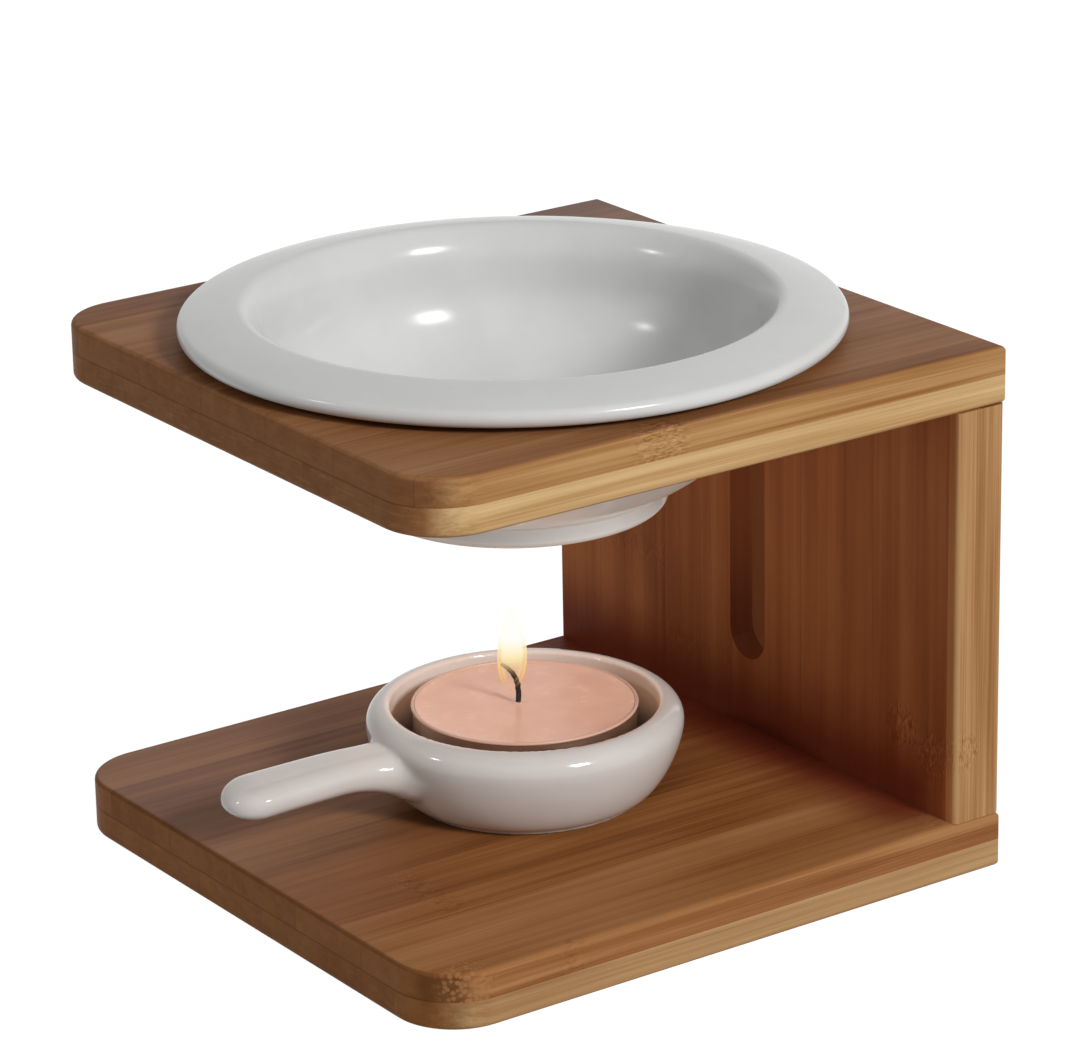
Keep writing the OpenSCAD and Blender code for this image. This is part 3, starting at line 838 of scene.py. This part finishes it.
def pan_field(section, points):
    """Signed field of the pan: below 0 in the clay. The handle melts into the outer wall alone."""
    x, y, z = points[..., 0], points[..., 1], points[..., 2]
    r = np.hypot(x, y)
    body = section_distance(section, r, z)
    handle = handle_distance(x, y, z)
    low_share = np.clip((PAN_H - BLEND_BELOW - z) / BLEND_RUN, 0, 1)
    reach = TOP_BLEND + (BLEND - TOP_BLEND) * low_share
    reach = reach * np.clip((r - PAN_R + BLEND_INSIDE) / BLEND_FADE, LEAST_BLEND, 1)
    share = np.clip(0.5 + 0.5 * (body - handle) / reach, 0, 1)
    return body + (handle - body) * share - reach * share * (1 - share)


def skin(field, low, high, pitch):
    """Points and quads of the surface where a field is 0, by one point in each cell that it crosses."""
    counts = [math.ceil((b - a) / pitch) + 1 for a, b in zip(low, high)]
    lines = [a + pitch * np.arange(n) for a, n in zip(low, counts)]
    grid = np.stack(np.meshgrid(*lines, indexing="ij"), axis=-1)
    values = field(grid)
    inside = values < 0
    cells = tuple(n - 1 for n in counts)

    def corner(array, i, j, k):
        return array[i:cells[0] + i, j:cells[1] + j, k:cells[2] + k]

    corners = [(i, j, k) for i in (0, 1) for j in (0, 1) for k in (0, 1)]
    filled = sum(corner(inside, *c).astype(int) for c in corners)
    active = (filled > 0) & (filled < 8)
    index = np.full(cells, -1)
    index[active] = np.arange(active.sum())
    total = np.zeros(cells + (3,))
    count = np.zeros(cells)
    for c in corners:
        for axis in range(3):
            if c[axis]:
                continue
            d = tuple(v + (n == axis) for n, v in enumerate(c))
            first, second = corner(values, *c), corner(values, *d)
            crossed = (first < 0) != (second < 0)
            share = np.where(crossed, first / np.where(crossed, first - second, 1), 0)
            place = corner(grid, *c).copy()
            place[..., axis] += share * pitch
            total += np.where(crossed[..., None], place, 0)
            count += crossed
    points = total[active] / count[active][:, None]
    quads = []
    for axis in range(3):
        other, third = (axis + 1) % 3, (axis + 2) % 3
        ahead = np.roll(inside, -1, axis=axis)
        spots = np.argwhere(inside != ahead)
        room = (spots >= 1).all(axis=1) & (spots < np.array(counts) - 1).all(axis=1)
        spots = spots[room]
        shifts = np.zeros((4, 3), dtype=int)
        shifts[1, other] = shifts[2, other] = -1
        shifts[2, third] = shifts[3, third] = -1
        quads.append(np.stack([index[tuple((spots + shift).T)] for shift in shifts], axis=1))
    return points, np.concatenate(quads)


def settle(field, points):
    """Moves points along the field's slope until they lie on its surface."""
    for _ in range(SETTLE_ROUNDS):
        shifts = SETTLE_REACH * np.eye(3)
        rises = [field(points + shift) - field(points - shift) for shift in shifts]
        slope = np.stack(rises, axis=-1) / (2 * SETTLE_REACH)
        steep = np.maximum((slope * slope).sum(axis=-1), LEAST_SLOPE)
        points = points - np.clip(field(points) / steep, -SETTLE_MOST, SETTLE_MOST)[:, None] * slope
    return points


def pan_mesh():
    """The pan's points and faces, turned and put in place."""
    section = pan_section()

    def field(points):
        return pan_field(section, points)

    low = (-PAN_R - SKIN_ROOM[0], -HANDLE_TIP - SKIN_ROOM[1], -SKIN_ROOM[2])
    high = (PAN_R + SKIN_ROOM[0], PAN_R + SKIN_ROOM[1], PAN_H + SKIN_ROOM[2])
    points, quads = skin(field, low, high, SKIN_PITCH)
    points = settle(field, points)
    turn = Matrix.Rotation(math.radians(-HANDLE_TURN), 3, "Z")
    placed = points @ np.array(turn).T + np.array((pan_axis[0], pan_axis[1], pan_low.z))
    return [tuple(point) for point in placed], [tuple(int(v) for v in quad) for quad in quads]


# Painted candlelight in the pan, which the glaze gives off, and painted shade down its inside wall
PAN_PAINTED_GLOW = (pan_axis, pan_low.z + PAN_FLOOR + 3.0, pan_high.z, 0.17, (1.0, 0.40, 0.17))

pan_glaze = glaze("pan_glaze", (0.655, 0.620, 0.590), foot=(pan_low.z, 0.6), gloss=(0.10, 0.14),
                  shine=0.30, glow=PAN_PAINTED_GLOW)
new_piece("pan_glazed", pan_mesh(), pan_glaze, "pan", ["candle_pan"], crease=70)


# Tealight

cup_low, cup_high = box_mm("tealight_cup")
wax_low, wax_high = box_mm("tealight_wax")
wick_low, wick_high = box_mm("wick")
light_axis = ((cup_low.x + cup_high.x) / 2, (cup_low.y + cup_high.y) / 2)
BEAD_R = 0.3
CUP_T = 0.3
CUP_R = (cup_high.x - cup_low.x) / 2 - BEAD_R
CUP_ROUND = 0.8
CUP_LEVELS = (0.15, 0.25, 0.4, 0.5, 0.6, 0.75, 0.85)
FLUTES = 48
FLUTE_DEPTH = 0.11
FLUTE_END = 1.2
MENISCUS = 0.3
POOL_EDGE = 3.0
WAX_TOP = wax_high.z - MENISCUS
WAX_ROUND = 0.6
WAX_AROUND = 128
EDGE_STEPS, POOL_STEPS = 8, 24
WICK_RISE, WICK_RISE_R = 0.35, 0.9
WICK_R = 0.5
WICK_STEM = 2.4
WICK_BEND_R = 5.2
WICK_BEND = 62.0
WICK_TURN = 55.0
WICK_FOOT = (-0.6, light_axis[1] - 0.8)
WICK_AROUND = 20
WICK_TAPER, WICK_TIP = 0.35, 0.35
STEM_STEPS, BEND_STEPS = 26, 34
BRAID_STRANDS = 3
BRAID_TURN = 0.9


def cup_shape(r, z, angle):
    """Shallow upright flutes in the cup's wall, fading out at the floor and the bead."""
    middle = (cup_low.z + cup_high.z) / 2
    reach = (cup_high.z - cup_low.z) / 2 - FLUTE_END
    fade = max(0.0, 1 - ((z - middle) / reach) ** 4)
    on_wall = 1.0 if r > CUP_R - 2 * CUP_T else 0.0
    return r - FLUTE_DEPTH * on_wall * fade * (0.5 + 0.5 * math.cos(FLUTES * angle)), z


def cup_section():
    """The cup from its axis out under the floor, up the wall, round the bead and back down inside."""
    low, high = cup_low.z, cup_high.z
    inside = CUP_R - CUP_T
    levels = [low + (high - low) * share for share in CUP_LEVELS]
    section = [(0, low)] + arc((CUP_R - CUP_ROUND, low + CUP_ROUND), CUP_ROUND, -90, 0, 6)
    section += [(CUP_R, z) for z in levels]
    section += arc((CUP_R, high - BEAD_R), BEAD_R, -90, 130, 14)
    section += [(inside, high - BEAD_R)]
    section += [(inside, z) for z in reversed(levels)]
    section += [(inside, low + CUP_T), (0, low + CUP_T)]
    return section


metal = pressed_metal("cup_metal", cup_high.z)
fluted_cup = lathe(cup_section(), light_axis, 4 * FLUTES, cup_shape)
new_piece("cup_pressed", fluted_cup, metal, "tealight", ["tealight_cup"])


def wax_surface(r, z, angle):
    """The wax, risen a little where it wets the wick."""
    x = light_axis[0] + r * math.cos(angle) - WICK_FOOT[0]
    y = light_axis[1] + r * math.sin(angle) - WICK_FOOT[1]
    on_top = z > wax_low.z + 1
    lift = WICK_RISE * math.exp(-(math.hypot(x, y) / WICK_RISE_R) ** 2) if on_top else 0.0
    return r, z + lift


def wax_section():
    """The wax from its axis out under it, up its side and back over the meniscus and the pool."""
    wax_r = (wax_high.x - wax_low.x) / 2
    pool_r = wax_r - POOL_EDGE
    section = [(0, wax_low.z), (wax_r - WAX_ROUND, wax_low.z), (wax_r, wax_low.z + WAX_ROUND)]
    for i in range(EDGE_STEPS + 1):
        share = 1 - i / EDGE_STEPS
        section.append((pool_r + POOL_EDGE * share, WAX_TOP + MENISCUS * share ** 2))
    section += [(pool_r * (1 - i / POOL_STEPS), WAX_TOP) for i in range(1, POOL_STEPS + 1)]
    return section


peach_wax = wax("peach_wax", WAX_TOP)
melted_wax = lathe(wax_section(), light_axis, WAX_AROUND, wax_surface)
new_piece("wax_melted", melted_wax, peach_wax, "tealight", ["tealight_wax"])


def wick_path():
    """The wick's middle line, as (out, up, lean): straight up out of the wax, then bent over."""
    stem_top = WAX_TOP + WICK_STEM
    stem = stem_top - wick_low.z
    path = [(0.0, wick_low.z + stem * i / STEM_STEPS, 0.0) for i in range(STEM_STEPS)]
    for i in range(BEND_STEPS + 1):
        angle = math.radians(WICK_BEND) * i / BEND_STEPS
        path.append((WICK_BEND_R * (1 - math.cos(angle)), stem_top + WICK_BEND_R * math.sin(angle), angle))
    return path


def wick_mesh():
    """The braided wick, which thins towards its tip."""
    heading = math.radians(WICK_TURN)
    forwards = (-math.cos(heading), -math.sin(heading))
    sideways = (-math.sin(heading), math.cos(heading))
    path = wick_path()
    points = []
    for n, (out, up, lean) in enumerate(path):
        past_stem = max(0.0, (n - STEM_STEPS) / BEND_STEPS)
        radius = WICK_R * (1 - WICK_TAPER * past_stem ** 2) * (WICK_TIP if n == len(path) - 1 else 1)
        for i in range(WICK_AROUND):
            angle = 2 * math.pi * i / WICK_AROUND
            strand, twist = BRAID_STRANDS * angle, BRAID_TURN * n
            r = radius * (0.9 + 0.06 * math.cos(strand + twist) + 0.05 * math.cos(strand - twist))
            across, forward = r * math.sin(angle), r * math.cos(angle)
            reach = out + forward * math.cos(lean)
            points.append((WICK_FOOT[0] + forwards[0] * reach + sideways[0] * across,
                           WICK_FOOT[1] + forwards[1] * reach + sideways[1] * across,
                           up - forward * math.sin(lean)))
    ends = (range(WICK_AROUND), range(len(points) - WICK_AROUND, len(points)))
    return points, ring_faces(len(path), WICK_AROUND) + [tuple(end) for end in ends]


cotton = charred_cotton("wick_cotton", WAX_TOP, wick_high.z)
new_piece("wick_braided", wick_mesh(), cotton, "tealight", ["wick"], crease=60)


# Flame: a core inside a paler shell

FLAME_AXIS = (WICK_FOOT[0] - 0.7, WICK_FOOT[1] - 1.0)
FLAME_LOW = WAX_TOP + 2.6
FLAME_HIGH = WAX_TOP + 17.1
FLAME_R = 2.45
FLAME_LEAN = 0.25
FLAME_STEPS, FLAME_AROUND = 40, 40
FLAME_WIDEST = 0.4
FLAME_FOOT, FLAME_TIP = 0.5, 0.75
CORE_RAISED, CORE_LOWER, CORE_SHARE = 0.8, 1.2, 0.72

# Level direction that the flame's clear middle faces
FLAME_FRONT = (0.82, -0.57)


def flame(name, stops, cover, mantle):
    """Glowing gas.

    Stops are (share of the height, tone). cover is how solid it is, as two (share of the height, share).
    mantle is how solid the sides are low down, where the gas in the middle is still clear.
    """
    graph = Graph(name)
    share = graph.math("DIVIDE", graph.minus(graph.place[2], FLAME_LOW), FLAME_HIGH - FLAME_LOW,
                       clamp=True)
    glow = graph.add("Emission", {"Color": graph.ramp(share, stops), "Strength": 1.0})[0]
    clear = graph.add("BsdfTransparent")[0]
    (low_share, low_cover), (high_share, high_cover) = cover
    solid = graph.remap(share, low_share, high_share, low_cover, high_cover)
    side = graph.remap(graph.size(graph.level_dot(graph.facing, FLAME_FRONT)), 0.9, 0.3)
    low_side = graph.times(side, graph.remap(share, 0.02, 0.14), mantle)
    solid = graph.math("MAXIMUM", solid, low_side)
    return graph.finish(graph.add("MixShader", {0: solid, 1: clear, 2: glow})[0])


def flame_width(share):
    """How wide the flame is at a share of its height, before it is scaled."""
    return share ** FLAME_FOOT * (1 - share) ** FLAME_TIP


def flame_drop(low, high, radius):
    """A drop that is widest at two fifths of its height and drawn out to a point."""
    points = []
    for k in range(FLAME_STEPS + 1):
        share = 0.5 - 0.5 * math.cos(math.pi * k / FLAME_STEPS)
        r = radius * flame_width(share) / flame_width(FLAME_WIDEST)
        sway = FLAME_LEAN * math.sin(3.0 * share)
        for i in range(FLAME_AROUND):
            angle = 2 * math.pi * i / FLAME_AROUND
            points.append((FLAME_AXIS[0] + sway + r * math.cos(angle),
                           FLAME_AXIS[1] + sway + r * math.sin(angle), low + (high - low) * share))
    return points, ring_faces(FLAME_STEPS + 1, FLAME_AROUND)


SHELL_STOPS = ((0.0, (0.85, 0.42, 0.10)), (0.22, (1.0, 0.60, 0.16)), (0.45, (1.0, 0.82, 0.42)),
               (0.65, (1.0, 0.99, 0.92)))
CORE_STOPS = ((0.0, (1.0, 0.56, 0.17)), (0.22, (1.0, 0.76, 0.35)), (0.42, (1.0, 0.92, 0.66)),
              (0.6, (1.0, 1.0, 0.98)))
SHELL_COVER = ((0.17, 0.0), (0.5, 0.60))
CORE_COVER = ((0.22, 0.0), (0.52, 0.92))
shell_glow = flame("flame_shell", SHELL_STOPS, SHELL_COVER, mantle=0.55)
core_glow = flame("flame_core", CORE_STOPS, CORE_COVER, mantle=0.30)
shell_drop = flame_drop(FLAME_LOW, FLAME_HIGH, FLAME_R)
outer_flame = new_piece("flame_shell", shell_drop, shell_glow, "tealight")
core_drop = flame_drop(FLAME_LOW + CORE_RAISED, FLAME_HIGH - CORE_LOWER, CORE_SHARE * FLAME_R)
inner_flame = new_piece("flame_core", core_drop, core_glow, "tealight")
for gas in (outer_flame, inner_flame):
    gas.visible_shadow = False


# Hidden pieces

beech = dowel_wood("dowel_wood")
coat("base_dowels", beech)
coat("top_dowels", beech)
coat("wick_tab", metal)


# Studio, in metres

scene.view_settings.view_transform = "Standard"
AMBIENT = 0.27
AMBIENT_TONE = (1.0, 0.99, 0.98)
WHITE = (1.0, 1.0, 1.0)
FLOOR_HALF = 3.0
FLOOR_DROP = 0.00003
FLOOR_GREY = (0.58, 0.58, 0.58)
FLOOR_SHADED = (0.12, 0.12, 0.12)
FLOOR_GLOW = 0.97


def seen_rays(graph):
    """1 for rays that show the background: from the camera, mirrored or let through."""
    path = graph.add("LightPath")
    seen = graph.math("MAXIMUM", path["Is Camera Ray"], path["Is Glossy Ray"])
    return graph.math("MAXIMUM", seen, path["Is Transmission Ray"])


def make_world():
    """White behind the object, and a plain grey that lights it from all round."""
    world = bpy.data.worlds.new("studio")
    scene.world = world
    world.use_nodes = True
    graph = NodeGraph(world.node_tree)
    grey = graph.add("Background", {"Color": AMBIENT_TONE, "Strength": AMBIENT})[0]
    white = graph.add("Background", {"Color": WHITE, "Strength": 1.0})[0]
    choice = graph.add("MixShader", {0: seen_rays(graph), 1: grey, 2: white})[0]
    graph.add("OutputWorld", {"Surface": choice})


def make_floor():
    """A pale floor that looks white where it is lit and keeps the object's shadow."""
    graph = Graph("floor_white")
    plain = graph.add("BsdfDiffuse", {"Color": FLOOR_GREY})[0]
    shaded = graph.add("BsdfDiffuse", {"Color": FLOOR_SHADED})[0]
    glow = graph.add("Emission", {"Color": WHITE, "Strength": FLOOR_GLOW})[0]
    white = graph.add("AddShader", {0: shaded, 1: glow})[0]
    choice = graph.add("MixShader", {0: seen_rays(graph), 1: plain, 2: white})[0]
    mesh = bpy.data.meshes.new("floor")
    signs = ((-1, -1), (1, -1), (1, 1), (-1, 1))
    corners = [(x * FLOOR_HALF, y * FLOOR_HALF, -FLOOR_DROP) for x, y in signs]
    mesh.from_pydata(corners, [], [(0, 1, 2, 3)])
    mesh.materials.append(graph.finish(choice))
    put("floor", mesh)


def towards(azimuth, elevation):
    """Direction from the object. Azimuth 0 is the front and 90 the right."""
    a, e = math.radians(azimuth), math.radians(elevation)
    return Vector((math.sin(a) * math.cos(e), -math.cos(a) * math.cos(e), math.sin(e)))


LAMP_AIM = Vector((0.0, 0.0, 0.06))
LAMP_DISTANCE = 2.4


def soft_box(name, azimuth, elevation, size, level, mirrored=True):
    """A square lamp. Level is how bright it makes a white card that faces it at the object.

    mirrored is whether gloss shows the lamp itself.
    """
    lamp = bpy.data.lights.new(name, "AREA")
    lamp.shape = "SQUARE"
    lamp.size = size
    lamp.energy = level * math.pi ** 2 * LAMP_DISTANCE ** 2
    holder = put(name, lamp)
    direction = towards(azimuth, elevation)
    holder.location = LAMP_AIM + direction * LAMP_DISTANCE
    holder.rotation_euler = direction.to_track_quat("Z", "Y").to_euler()
    holder.visible_glossy = mirrored


CANDLE_TONE = (1.0, 0.70, 0.44)
CANDLE_WATTS = 0.006
CANDLE_CONE = 165.0
CANDLE_R = 2.0
CANDLE_UP = 6.0


def candle_light():
    """The flame's own warm light, which the flame carries. It shines upwards; the wax's glow is painted.
    """
    lamp = bpy.data.lights.new("candle_light", "SPOT")
    lamp.color = CANDLE_TONE
    lamp.energy = CANDLE_WATTS
    lamp.spot_size = math.radians(CANDLE_CONE)
    lamp.spot_blend = 0.8
    lamp.shadow_soft_size = CANDLE_R * MM
    holder = put("candle_light", lamp)
    holder.location = Vector((FLAME_AXIS[0], FLAME_AXIS[1], FLAME_LOW + CANDLE_UP)) * MM
    holder.rotation_euler = (math.pi, 0, 0)
    holder.parent = outer_flame


VIEW_AZIMUTH = 55.14
VIEW_ELEVATION = 19.60
VIEW_ROLL = -1.07
VIEW_PLACE = (0.6128, -0.4233, 0.3210)
VIEW_LENS = 161.9
SENSOR_W = 36.0


def make_camera():
    """The photograph's view."""
    data = bpy.data.cameras.new("view")
    data.sensor_fit = "HORIZONTAL"
    data.sensor_width = SENSOR_W
    data.lens = VIEW_LENS
    data.clip_start = 0.01
    data.clip_end = 20.0
    camera = put("view", data)
    back = towards(VIEW_AZIMUTH, VIEW_ELEVATION)
    right = towards(VIEW_AZIMUTH + 90, 0)
    up = back.cross(right)
    axes = Matrix((right, up, back)).transposed()
    turn = axes @ Matrix.Rotation(math.radians(VIEW_ROLL), 3, "Z")
    camera.matrix_world = Matrix.Translation(Vector(VIEW_PLACE)) @ turn.to_4x4()
    scene.camera = camera


make_world()
make_floor()
soft_box("key", azimuth=97.0, elevation=29.0, size=0.50, level=0.74)
soft_box("front", azimuth=-17.0, elevation=30.0, size=0.20, level=0.11)
soft_box("back", azimuth=222.0, elevation=10.0, size=1.00, level=0.20, mirrored=False)
candle_light()
make_camera()
